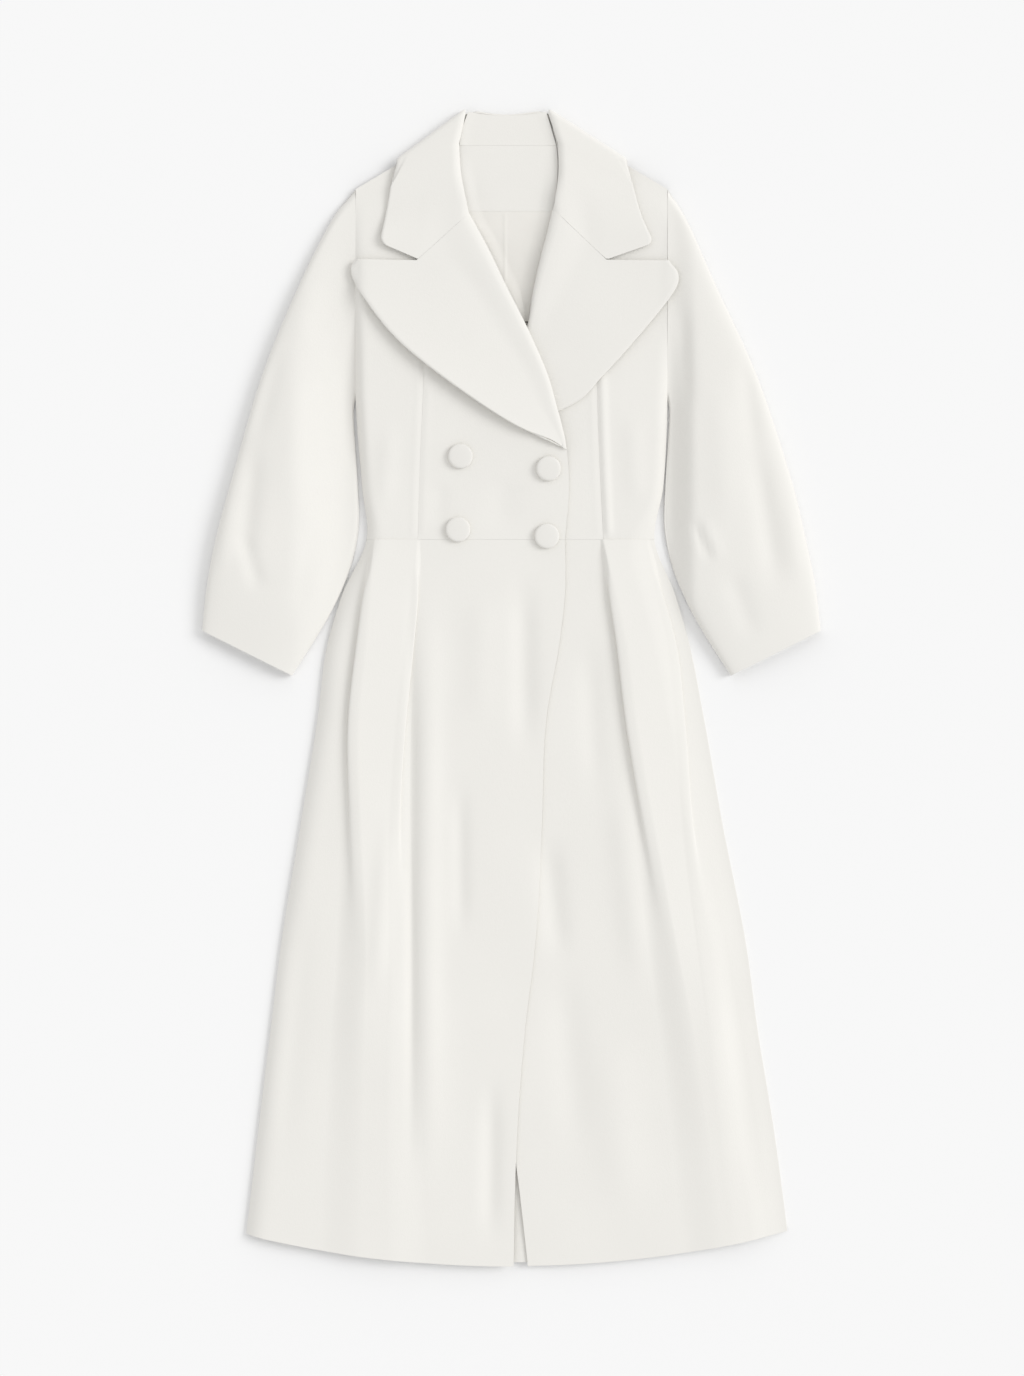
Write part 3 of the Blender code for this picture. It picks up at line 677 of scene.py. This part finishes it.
def centre_front_grid(side, lap):
    """Panel between the princess seam, the shoulder, and the roll line or front edge."""
    sign = -1 if side == "right" else 1
    across = steps(56, 160)
    start = read(PRINCESS, side, PRINCESS_TOP_Y)
    top = shoulder_y(start + (sign * SHOULDER_NECK[0] - start) * across)
    y = WAIST_Y + STITCH + (top - WAIST_Y - STITCH) * steps(130, 490)[:, None]
    seam = read(PRINCESS, side, y) - sign * STITCH / 2
    x = seam + (read(FRONT_EDGES, lap, y) - seam) * across
    return stacked(x, y, panel_height(x, y, lap))


def front_skirt_grid(side, lap):
    """Flared front with one box pleat: across each fold the cloth swings out, back under itself and out
    again as it drops, x = line + ramp (t - 1/2) + lean sin 2 pi t, and opens to a soft wave at the hem.
    The fold that faces the light lies lower than the other, until both open out."""
    sign = -1 if side == "right" else 1
    fold = np.linspace(0, 1, 25)
    middle = np.linspace(0, 1, 22)[1:-1]
    rim = len(RIM_STEPS)
    parts = (steps(20, 60)[:-rim], fold[::-1], middle, fold, steps(44, 170)[rim:])

    def lay(levels):
        """Columns of the five stretches, side to front edge: x, and how far the pleat raises the cloth."""
        xs = []
        raised = []
        for stretch, (part, y) in enumerate(zip(parts, levels)):
            ramp, lean, rise = (read(FOLDS, name, y) for name in ("ramp", "lean", "rise"))
            out_x, in_x, edge_x = (read(SKIRT, name + side, y) for name in ("out_", "in_", "edge_"))
            swing = sign * (ramp * (part - 0.5) + lean * np.sin(2 * np.pi * part))
            half = sign * ramp / 2
            seam_x = sign * side_x(side, y)
            start = (seam_x, out_x + swing, out_x - half, in_x - swing, in_x - half)[stretch]
            end = (out_x + half, out_x + swing, in_x + half, in_x - swing, edge_x)[stretch]
            xs.append(start + (end - start) * part)
            lower = 1 - (1 - LIT_FOLD) * ease((y - LIT_END_Y) / LIT_FADE)
            outer, inner = (1.0, lower) if side == "right" else (lower, 1.0)
            down = rise * (1 - ease(part))
            top = rise * (outer + (inner - outer) * part)
            raised.append((0 * y, outer * down, top, inner * down, 0 * y)[stretch])
        return np.concatenate(xs, axis=-1), np.concatenate(raised, axis=-1)

    hem_x, _ = lay([np.full(part.shape, HEM_TABLE_Y) for part in parts])
    y = WAIST_Y + (hem_y(hem_x) - WAIST_Y) * steps(150, 880)[:, None]
    bounds = np.cumsum([len(part) for part in parts])[:-1]
    x, raised = lay(np.split(y, bounds, axis=1))
    return stacked(x, y, panel_height(x, y, lap) + raised)


def sleeve_grid(side):
    """Flattened tube: flat where it lies, crowned above with soft creases, open at armhole and cuff."""
    sign = -1 if side == "right" else 1
    rows = rows_at(SLEEVE, steps(110, 590))
    turn = np.linspace(0, 2 * np.pi, 84, endpoint=False)
    across = (1 - np.cos(turn)) / 2
    bulge = np.abs(np.sin(turn))
    above = turn < np.pi
    inner = rows["inner"][:, None]
    outer = rows["outer_" + side][:, None]
    x = inner + (outer - inner) * across
    y = rows["inner_y"][:, None] + (rows["outer_y"] - rows["inner_y"])[:, None] * across
    top = rows["crown"][:, None] * bulge ** SLEEVE_ROUND + SLEEVE_EDGE_LIFT * (1 - bulge)
    table = RIGHT_SLEEVE_CREASES if side == "right" else LEFT_SLEEVE_CREASES
    top = top + (creased(x, y, table) + unevenness(x + SLEEVE_WAVES_AT * sign, y)) * bulge
    sewn = (read(LEVELS, "edge", y) - BACK_Z) * np.minimum(1.0, bulge / SLEEVE_SEWN_ROUND)
    away = ease((x - ARMHOLE_X) / ARMHOLE_BLEND[side])
    top = sewn + (top - sewn) * away
    bottom = SLEEVE_EDGE_LIFT * (1 - bulge) ** 3
    return stacked(sign * x, y, BACK_Z + np.where(above, top, bottom))


ROLL_STEPS = 1 - np.cos(np.linspace(0, np.pi / 2, 12))
LEAF_STEPS = steps(34, 120)[len(RIM_STEPS) + 1:]


def leaf_lines(rows, roll_width, notch=NOTCH_AT, pulled=0.0):
    """Straight lines from the roll line to the outer edge, with the middle dropped towards a notch; each
    line ends short of the edge by the share that it is pulled in, which rounds a corner."""
    names = ("roll_x", "roll_y", "edge_x", "edge_y", "drop")
    roll_x, roll_y, edge_x, edge_y, drop = (rows[name][:, None] for name in names)
    length = np.hypot(edge_x - roll_x, edge_y - roll_y)
    width = np.minimum(roll_width, ROLL_SHARE * length)
    rolled = width / length
    t = np.concatenate((ROLL_STEPS * width / length, rolled + (1 - rolled) * LEAF_STEPS), axis=1)
    t = t * (1 - pulled)
    tent = np.minimum(t / notch, (1 - t) / (1 - notch))
    x = roll_x + (edge_x - roll_x) * t
    y = roll_y + (edge_y - roll_y) * t - drop * tent
    return x, y, t, t * length / width


def sewn_columns(grid, notch=NOTCH_AT):
    """Which columns of a leaf end at the gorge seam: those from the roll line to the notch."""
    gorge = grid[-1, :, 0]
    return (gorge - gorge[0]) / (gorge[-1] - gorge[0]) < notch


def lapel_grid(table, lap):
    """Leaf that rises round the roll line and hovers over its front."""
    rows = rows_at(table, steps(70, 330))
    x, y, t, rolled = leaf_lines(rows, rows["roll_width"][:, None])
    roll_z = front_height(rows["roll_x"], rows["roll_y"], lap)[:, None] + LEAF_RIM
    hover = front_height(x, y, lap) + LEAF_REST + rows["edge_lift"][:, None] * t
    over = roll_z + rows["roll_rise"][:, None] * quarter(rolled)
    z = np.maximum(over + (hover - over) * ease((rolled - 1) * BLEND_RATE), hover * (rolled > 1))
    return stacked(x, y, z)


def fall_grid(table, at, notch=NOTCH_AT, corner=0.0):
    """Front or back rows of the collar: rounded at the roll, then running straight to the edge, with a
    quarter round of the radius given where the first row meets the edge."""
    rows = rows_at(table, at)
    along = at * np.hypot(table[-1].edge_x - table[0].edge_x, table[-1].edge_y - table[0].edge_y)
    pulled = corner * (1 - quarter(along / max(corner, 1.0)))
    length = np.hypot(rows["edge_x"] - rows["roll_x"], rows["edge_y"] - rows["roll_y"])
    x, y, t, rolled = leaf_lines(rows, COLLAR_ROLL_WIDTH, notch, (pulled / length)[:, None])
    roll_z, top_z, edge_z = (rows[name][:, None] for name in ("roll_z", "top_z", "edge_z"))
    return stacked(x, y, roll_z + (top_z - roll_z) * quarter(rolled) + (edge_z - top_z) * t)


def front_fall_grid(table, lapel, lap, notch):
    """Front of the collar, eased to the lapel's own height along the gorge seam that joins them."""
    near = np.linspace(0, 1, 14) ** 2 * COLLAR_CORNER / FALL_EDGE_LENGTH
    at = np.concatenate((near, np.linspace(near[-1], 1, 24)[1:]))
    grid = fall_grid(table, at, notch, COLLAR_CORNER)
    gorge = lapel_grid(lapel, lap)[-1]
    level = np.interp(np.abs(grid[..., 0]), np.abs(gorge[:, 0]), gorge[:, 2])
    grid[..., 2] += (level - grid[..., 2]) * (1 - ease(at / GORGE_BLEND))[:, None]
    return grid


def crease_grid(crease, share):
    """Half round about the shoulder crease, from the front's leaf to the back's."""
    start, end = np.array(crease, float)
    along = end - start
    outward = np.array((0.0, 1.0))
    low = BACK_FALL[0].edge_z
    high = CREASE_ROLL_Z + (CREASE_TOP_Z - CREASE_ROLL_Z) * quarter(share / CREASE_ROLL_SHARE)
    radius = (high - low) / 2
    turn = CREASE_TURN[:, None]
    plan = start + share[:, None] * along + outward * (radius * (np.cos(turn) - 1))[..., None]
    return np.concatenate((plan, (low + radius + radius * np.sin(turn))[..., None]), axis=-1)


def collar_grid():
    """The fall in one piece: right front, shoulder crease, back, shoulder crease, left front."""
    right = front_fall_grid(RIGHT_FALL, RIGHT_LAPEL, "over", RIGHT_COLLAR_NOTCH)
    left = front_fall_grid(LEFT_FALL, LEFT_LAPEL, "under", LEFT_COLLAR_NOTCH)[::-1]
    back = fall_grid(BACK_FALL, np.linspace(0, 1, 24))
    share = np.linspace(0, 1, right.shape[1]) ** CREASE_SPREAD
    return np.concatenate((
        right, crease_grid(CREASE_RIGHT, share), back, crease_grid(CREASE_LEFT, share)[::-1], left))


def stand_grid():
    """Band inside the back neck, from the neck seam up to the hollow curve of the collar's roll, filling
    the width between the two front rolls and rising a little towards them."""
    across = steps(40, 100)
    up = steps(18, 38)[:, None]
    top_x = STAND_SIDES[-1].right + (STAND_SIDES[-1].left - STAND_SIDES[-1].right) * across
    top = STAND_TOP_Y + STAND_HOLLOW * ((top_x - STAND_MIDDLE_X) / STAND_HALF) ** 2
    low = NECK_Y + STITCH / 2
    y = low + (top - low) * up
    start = np.interp(y, [row.y for row in STAND_SIDES], [row.right for row in STAND_SIDES])
    end = np.interp(y, [row.y for row in STAND_SIDES], [row.left for row in STAND_SIDES])
    x = start + (end - start) * across
    near = np.minimum(x - start, end - x)
    turned = STAND_TURN * (1 - ease(near / STAND_TURN_WIDTH))
    return stacked(x, y, NECK_Z + (STAND_Z - NECK_Z) * ease(up) + turned)


def neck_grid(low, high):
    """Cloth on the back that shows between the two roll lines, turned up a little beside them, with an
    ease fold below the facing."""
    y = low + (high - low) * steps(40, high - low)[:, None]
    start = read(FRONT_EDGES, "over", y) + LINING_INSET
    end = read(FRONT_EDGES, "under", y) - LINING_INSET
    x = start + (end - start) * steps(60, 90)
    fold = EASE_FOLD_HEIGHT * bell(x - EASE_FOLD_X, EASE_FOLD_HALF)
    fold = fold * ease((FACING_LOW_Y - y) / EASE_FOLD_FADE)
    near = np.minimum(x - start, end - x)
    turned = LINING_TURN * (1 - ease(near / LINING_TURN_WIDTH)) * ease((NECK_Y - y) / LINING_TURN_FADE)
    return stacked(x, y, back_height(x, y) + (WALL + FACING_WALL) / 2 + LINING_GAP + fold + turned)


def button_points(row):
    """Domed button turned about its middle: a tucked-in base with small gathers, a round rim and a low
    crown, on the front's slope."""
    radii, heights = np.array(BUTTON_PROFILE).T[..., None]
    turn = np.linspace(0, 2 * np.pi, 64, endpoint=False)
    reach = np.array((-BUTTON_RADIUS, BUTTON_RADIUS))
    ends = front_height(np.full(2, float(row.x)), row.y + reach, "over")
    slope = (ends[1] - ends[0]) / (2 * BUTTON_RADIUS)
    seat = max(front_height(float(row.x), float(row.y), "over"), ends.mean())
    gathers = 1 - GATHER_DEPTH * np.cos(GATHERS * turn) * bell(heights - GATHER_AT, GATHER_HALF)
    radius = BUTTON_RADIUS * radii * gathers
    x = row.x + radius * np.cos(turn)
    y = row.y + radius * np.sin(turn)
    z = seat + WALL / 2 + BUTTON_SEAT + BUTTON_HEIGHT * heights + slope * (y - row.y)
    return stacked(x, y, z)


def add_button(row, cloth):
    """Rings of the turned profile joined by quads, with a fan at each pole."""
    rings = button_points(row)
    sides = rings.shape[1]
    body = rings[1:-1].reshape(-1, 3)
    points = np.concatenate((body, rings[0, :1], rings[-1, :1]))
    index = np.arange(len(body)).reshape(-1, sides)
    beside = np.roll(index, -1, axis=1)
    quads = np.stack((index[:-1], beside[:-1], beside[1:], index[1:]), axis=-1).reshape(-1, 4)
    low = np.stack((np.full(sides, len(body)), beside[0], index[0]), axis=-1)
    high = np.stack((np.full(sides, len(body) + 1), index[-1], beside[-1]), axis=-1)
    add_mesh(row.name + "_cloth", points, quads.tolist() + low.tolist() + high.tolist(), cloth, row.name)


def lay_cloth(node, grid, wall=WALL, slot="ivory_wool", tube=False, sewn=None):
    """Adds a panel's shell."""
    made = add_shell(node + "_cloth", grid, wall, finish_of(slot), node, tube, sewn)


class CoatCloth(bpy.types.PropertyGroup):
    """Feel of the cloth."""

    nap: bpy.props.FloatProperty(
        name="Nap", description="How strongly the wool's fibres stand out", default=0.35, min=0.0, max=1.0)


class CoatColours(bpy.types.PropertyGroup):
    """Colours of the cloths."""

    wool: bpy.props.FloatVectorProperty(
        name="Wool", description="Outer cloth", subtype="COLOR", size=3, min=0.0, max=1.0,
        default=(0.82, 0.805, 0.766))
    lining: bpy.props.FloatVectorProperty(
        name="Lining", description="Satin inside the neck", subtype="COLOR", size=3, min=0.0, max=1.0,
        default=(0.815, 0.795, 0.75))
    buttons: bpy.props.FloatVectorProperty(
        name="Buttons", description="Cloth over the buttons", subtype="COLOR", size=3, min=0.0, max=1.0,
        default=(0.80, 0.785, 0.747))


class CoatStudio(bpy.types.PropertyGroup):
    """Light and camera."""

    ground: bpy.props.FloatVectorProperty(
        name="Ground", description="Colour of the pale surface", subtype="COLOR", size=3, min=0.0, max=1.0,
        default=(0.90, 0.90, 0.90))
    ambient: bpy.props.FloatProperty(
        name="Ambient", description="Strength of the even light from all round", default=0.815, min=0.0)
    key: bpy.props.FloatProperty(
        name="Key light", description="Strength of the soft light from the right", default=1.2, min=0.0)
    softness: bpy.props.FloatProperty(
        name="Softness", description="How wide the light from the right is", default=0.5, subtype="ANGLE")
    view_length: bpy.props.FloatProperty(
        name="View", description="Length of the ground that the picture shows", default=1.679,
        unit="LENGTH")
    lens: bpy.props.FloatProperty(name="Lens", description="Focal length in millimetres", default=85.0)


class COAT_OT_back(bpy.types.Operator):
    """Makes the back of the body and of the skirt"""

    bl_idname = "coat.back"
    bl_label = "Back"

    def execute(self, context):
        lay_cloth("back_bodice", back_bodice_grid())
        lay_cloth("back_skirt", back_skirt_grid())
        return {"FINISHED"}


class COAT_OT_fronts(bpy.types.Operator):
    """Makes the centre and side fronts of the body"""

    bl_idname = "coat.fronts"
    bl_label = "Fronts"

    def execute(self, context):
        for side, lap in (("right", "over"), ("left", "under")):
            lay_cloth(side + "_side_front_bodice", side_front_grid(side, lap))
            lay_cloth(side + "_front_bodice", centre_front_grid(side, lap))
        return {"FINISHED"}


class COAT_OT_skirts(bpy.types.Operator):
    """Makes the skirt's fronts with their box pleats"""

    bl_idname = "coat.skirts"
    bl_label = "Skirt fronts"

    def execute(self, context):
        for side, lap in (("left", "under"), ("right", "over")):
            lay_cloth(side + "_front_skirt", front_skirt_grid(side, lap))
        return {"FINISHED"}


class COAT_OT_sleeves(bpy.types.Operator):
    """Makes the full sleeves"""

    bl_idname = "coat.sleeves"
    bl_label = "Sleeves"

    def execute(self, context):
        for side in ("right", "left"):
            lay_cloth(side + "_sleeve", sleeve_grid(side), tube=True)
        return {"FINISHED"}


class COAT_OT_lapels(bpy.types.Operator):
    """Makes the lapels"""

    bl_idname = "coat.lapels"
    bl_label = "Lapels"

    def execute(self, context):
        for side, table, lap in (("left", LEFT_LAPEL, "under"), ("right", RIGHT_LAPEL, "over")):
            leaf = lapel_grid(table, lap)
            lay_cloth(side + "_lapel", leaf, LEAF, sewn=sewn_columns(leaf))
        return {"FINISHED"}


class COAT_OT_collar(bpy.types.Operator):
    """Makes the collar and its stand"""

    bl_idname = "coat.collar"
    bl_label = "Collar"

    def execute(self, context):
        fall = collar_grid()
        lay_cloth("collar", fall, COLLAR_WALL, sewn=sewn_columns(fall, LEFT_COLLAR_NOTCH))
        lay_cloth("collar_stand", stand_grid())
        return {"FINISHED"}


class COAT_OT_neck(bpy.types.Operator):
    """Makes the neck facing and the lining that show in the neck opening"""

    bl_idname = "coat.neck"
    bl_label = "Neck facing and lining"

    def execute(self, context):
        facing = neck_grid(FACING_LOW_Y, NECK_Y - STITCH / 2)
        lay_cloth("back_neck_facing", facing, FACING_WALL)
        lining = neck_grid(LINING_LOW_Y, FACING_LOW_Y - STITCH)
        lay_cloth("back_lining", lining, FACING_WALL, "ivory_lining")
        return {"FINISHED"}


class COAT_OT_buttons(bpy.types.Operator):
    """Makes the cloth-covered buttons"""

    bl_idname = "coat.buttons"
    bl_label = "Buttons"

    def execute(self, context):
        for row in BUTTONS:
            add_button(row, finish_of("covered_button"))
        return {"FINISHED"}


class COAT_OT_stage(bpy.types.Operator):
    """Makes the pale ground, the soft light and the camera straight above"""

    bl_idname = "coat.stage"
    bl_label = "Stage"

    def execute(self, context):
        scene = context.scene
        studio = scene.coat_studio
        mesh = bpy.data.meshes.new("floor")
        signs = ((-1, -1), (1, -1), (1, 1), (-1, 1))
        corners = [(FLOOR_HALF * x, FLOOR_HALF * y, FLOOR_Z) for x, y in signs]
        mesh.from_pydata(corners, [], [(0, 1, 2, 3)])
        ground = Finish("pale_ground", "")
        ground.set(Base_Color=tuple(studio.ground) + (1.0,), Roughness=0.95, Specular_IOR_Level=0.0)
        mesh.materials.append(ground.material)
        floor = bpy.data.objects.new("floor", mesh)
        scene.collection.objects.link(floor)

        world = bpy.data.worlds.new("soft_room")
        world.use_nodes = True
        backdrop = world.node_tree.nodes["Background"]
        backdrop.inputs["Color"].default_value = (1.0, 1.0, 1.0, 1.0)
        backdrop.inputs["Strength"].default_value = studio.ambient
        scene.world = world

        key = bpy.data.lights.new("key", "SUN")
        key.energy = studio.key
        key.angle = studio.softness
        lamp = bpy.data.objects.new("key", key)
        lamp.location = LAMP_PLACE
        lamp.rotation_euler = (-lamp.location).to_track_quat("-Z", "Y").to_euler()
        scene.collection.objects.link(lamp)

        camera = bpy.data.cameras.new("camera")
        camera.lens = studio.lens
        camera.sensor_width = SENSOR_WIDTH
        above = bpy.data.objects.new("camera", camera)
        height = studio.view_length * studio.lens / SENSOR_WIDTH
        above.location = (CAMERA_SHIFT, -CAMERA_SHIFT, height)
        scene.collection.objects.link(above)
        scene.camera = above
        scene.view_settings.view_transform = "Standard"
        return {"FINISHED"}


class COAT_PT_panel(bpy.types.Panel):
    """Lists the coat's sizes, colours and pieces"""

    bl_idname = "COAT_PT_panel"
    bl_label = "Double-breasted coat"
    bl_space_type = "VIEW_3D"
    bl_region_type = "UI"
    bl_category = "Coat"

    def draw(self, context):
        scene = context.scene
        for group in (scene.coat_cloth, scene.coat_colours, scene.coat_studio):
            for name in group.__annotations__:
                self.layout.prop(group, name)
        for operator in OPERATORS:
            self.layout.operator(operator.bl_idname)


GROUPS = {"coat_cloth": CoatCloth, "coat_colours": CoatColours, "coat_studio": CoatStudio}
OPERATORS = (
    COAT_OT_stage, COAT_OT_back, COAT_OT_fronts, COAT_OT_skirts, COAT_OT_sleeves, COAT_OT_lapels,
    COAT_OT_collar, COAT_OT_neck, COAT_OT_buttons,
)


def register():
    for item in (*GROUPS.values(), *OPERATORS, COAT_PT_panel):
        bpy.utils.register_class(item)
    for name, group in GROUPS.items():
        setattr(bpy.types.Scene, name, bpy.props.PointerProperty(type=group))


def unregister():
    for name in GROUPS:
        delattr(bpy.types.Scene, name)
    for item in (COAT_PT_panel, *reversed(OPERATORS), *GROUPS.values()):
        bpy.utils.unregister_class(item)


def main():
    register()
    bpy.ops.coat.stage()
    bpy.ops.coat.back()
    bpy.ops.coat.fronts()
    bpy.ops.coat.skirts()
    bpy.ops.coat.sleeves()
    bpy.ops.coat.lapels()
    bpy.ops.coat.collar()
    bpy.ops.coat.neck()
    bpy.ops.coat.buttons()


if __name__ == "__main__":
    main()
